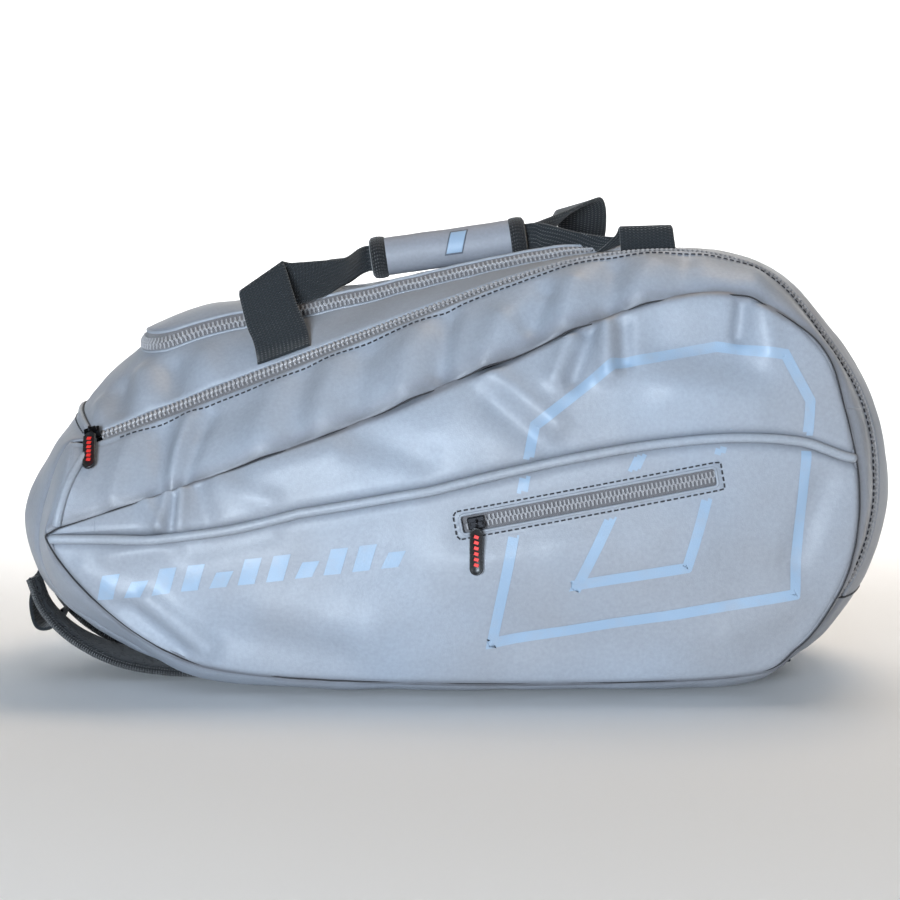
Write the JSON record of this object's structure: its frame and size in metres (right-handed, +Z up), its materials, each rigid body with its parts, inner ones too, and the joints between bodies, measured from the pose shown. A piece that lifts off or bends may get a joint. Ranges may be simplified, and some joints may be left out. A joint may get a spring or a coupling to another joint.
{
  "type": "padel racket bag",
  "caption": "Boxy soft bag for padel rackets: tapered side profile, zipped side compartments, zipped top flap, carrying handles with a wrap, padded shoulder straps.",
  "frame": {"origin": "under the middle of the bag, on the surface that its shoulder straps rest on", "axes": "+X towards the wide end, -Y towards the side that carries the handle wrap, +Z up"},
  "size_m": [0.6062, 0.3098, 0.3333],
  "materials": {
    "body_leather": "matt soft-touch artificial leather, fine grain",
    "back_leather": "matt artificial leather",
    "piping_leather": "matt artificial leather over cord",
    "wrap_leather": "matt artificial leather, padded",
    "zip_grey": "woven tape with moulded teeth",
    "webbing_black": "ribbed woven webbing",
    "binding_ribbed": "ribbed binding tape",
    "strap_mesh": "air mesh over foam",
    "lining_dark": "plain woven lining",
    "slider_metal": "black painted die-cast metal",
    "puller_plastic": "soft moulded puller",
    "buckle_plastic": "moulded"
  },
  "bodies": {
    "root": {"back_panel": "back_leather", "back_stiffener": "lining_dark", "crown_panel": "body_leather", "far_base_gusset": "body_leather", "far_divider": "lining_dark", "far_ladder_lock": "buckle_plastic", "far_lower_panel": "body_leather", "far_piping": "piping_leather", "far_pocket_pouch": "lining_dark", "far_pocket_zip": "zip_grey", "far_shoulder_strap": "strap_mesh", "far_strap_webbing": "webbing_black", "far_zip_fixed_half": "zip_grey", "flap_zip_fixed_half": "zip_grey", "haul_loop": "webbing_black", "left_end_panel": "body_leather", "near_base_gusset": "body_leather", "near_divider": "lining_dark", "near_ladder_lock": "buckle_plastic", "near_lower_panel": "body_leather", "near_piping": "piping_leather", "near_pocket_pouch": "lining_dark", "near_pocket_zip": "zip_grey", "near_shoulder_strap": "strap_mesh", "near_strap_webbing": "webbing_black", "near_zip_fixed_half": "zip_grey"},
    "near_lid": {"near_upper_panel": "body_leather", "near_upper_gusset": "body_leather", "near_zip_moving_half": "zip_grey"},
    "near_zip_slider": {"near_zip_slider": "slider_metal"},
    "near_zip_puller": {"near_zip_puller": "puller_plastic"},
    "near_pocket_slider": {"near_pocket_slider": "slider_metal"},
    "near_pocket_puller": {"near_pocket_puller": "puller_plastic"},
    "near_tail": {"near_strap_tail": "webbing_black"},
    "far_lid": {"far_upper_panel": "body_leather", "far_upper_gusset": "body_leather", "far_zip_moving_half": "zip_grey"},
    "far_zip_slider": {"far_zip_slider": "slider_metal"},
    "far_zip_puller": {"far_zip_puller": "puller_plastic"},
    "far_pocket_slider": {"far_pocket_slider": "slider_metal"},
    "far_pocket_puller": {"far_pocket_puller": "puller_plastic"},
    "far_tail": {"far_strap_tail": "webbing_black"},
    "flap": {"flap_panel": "body_leather", "flap_zip_moving_half": "zip_grey"},
    "near_handle": {"near_handle_strap": "webbing_black", "handle_wrap": "wrap_leather", "handle_wrap_left_binding": "binding_ribbed", "handle_wrap_right_binding": "binding_ribbed"},
    "far_handle": {"far_handle_strap": "webbing_black"},
    "flap_zip_slider": {"flap_zip_slider": "slider_metal"},
    "flap_zip_puller": {"flap_zip_puller": "puller_plastic"}
  },
  "joints": [
    {"name": "near_lid_open", "type": "hinge", "parent": "root", "child": "near_lid", "pos_m": [0, -0.146, 0.15524], "axis": [0.9885, 0, 0.1512], "range_deg": [0, 50]},
    {"name": "far_lid_open", "type": "hinge", "parent": "root", "child": "far_lid", "pos_m": [0, 0.146, 0.15524], "axis": [-0.9885, 0, -0.1512], "range_deg": [0, 50]},
    {"name": "flap_open", "type": "hinge", "parent": "root", "child": "flap", "pos_m": [0.122, 0, 0.29776], "axis": [0, 1, 0], "range_deg": [0, 25]},
    {"name": "near_handle_swing", "type": "hinge", "parent": "root", "child": "near_handle", "pos_m": [-0.118, -0.08, 0.22894], "axis": [0.9621, 0.0232, 0.2716], "range_deg": [0, 90]},
    {"name": "far_handle_swing", "type": "hinge", "parent": "root", "child": "far_handle", "pos_m": [-0.118, 0.08, 0.22894], "axis": [-0.9525, 0.0275, -0.3034], "range_deg": [0, 90]},
    {"name": "near_zip_slide", "type": "slide", "parent": "root", "child": "near_zip_slider", "axis": [0.9336, 0, 0.3584], "range_m": [0, 0.22]},
    {"name": "near_zip_puller_swing", "type": "hinge", "parent": "near_zip_slider", "child": "near_zip_puller", "pos_m": [-0.24242, -0.09354, 0.17619], "axis": [-0.9628, 0.1109, -0.2466], "range_deg": [0, 100]},
    {"name": "near_pocket_slide", "type": "slide", "parent": "root", "child": "near_pocket_slider", "axis": [0.9826, 0, 0.1857], "range_m": [0, 0.145]},
    {"name": "near_pocket_puller_swing", "type": "hinge", "parent": "near_pocket_slider", "child": "near_pocket_puller", "pos_m": [0.01277, -0.15231, 0.12045], "axis": [-1, 0, 0], "range_deg": [0, 100]},
    {"name": "far_zip_slide", "type": "slide", "parent": "root", "child": "far_zip_slider", "axis": [0.9336, 0, 0.3584], "range_m": [0, 0.22]},
    {"name": "far_zip_puller_swing", "type": "hinge", "parent": "far_zip_slider", "child": "far_zip_puller", "pos_m": [-0.24242, 0.09354, 0.17619], "axis": [0.9628, 0.1109, 0.2466], "range_deg": [0, 100]},
    {"name": "far_pocket_slide", "type": "slide", "parent": "root", "child": "far_pocket_slider", "axis": [0.9826, 0, 0.1857], "range_m": [0, 0.145]},
    {"name": "far_pocket_puller_swing", "type": "hinge", "parent": "far_pocket_slider", "child": "far_pocket_puller", "pos_m": [0.01277, 0.15231, 0.12045], "axis": [1, 0, 0], "range_deg": [0, 100]},
    {"name": "flap_zip_slide", "type": "slide", "parent": "flap", "child": "flap_zip_slider", "axis": [-0.974, 0, -0.2265], "range_m": [0, 0.1]},
    {"name": "flap_puller_swing", "type": "hinge", "parent": "flap_zip_slider", "child": "flap_zip_puller", "pos_m": [0.035, 0.04751, 0.29191], "axis": [1, 0, 0], "range_deg": [0, 100]},
    {"name": "near_tail_pull", "type": "slide", "parent": "root", "child": "near_tail", "axis": [1, 0, 0], "range_m": [0, 0.03]},
    {"name": "far_tail_pull", "type": "slide", "parent": "root", "child": "far_tail", "axis": [1, 0, 0], "range_m": [0, 0.03]}
  ],
  "couplings": [
    {"joint": "near_handle_swing", "follows": "flap_open", "ratio": 3.6},
    {"joint": "far_handle_swing", "follows": "flap_open", "ratio": 3.6}
  ]
}
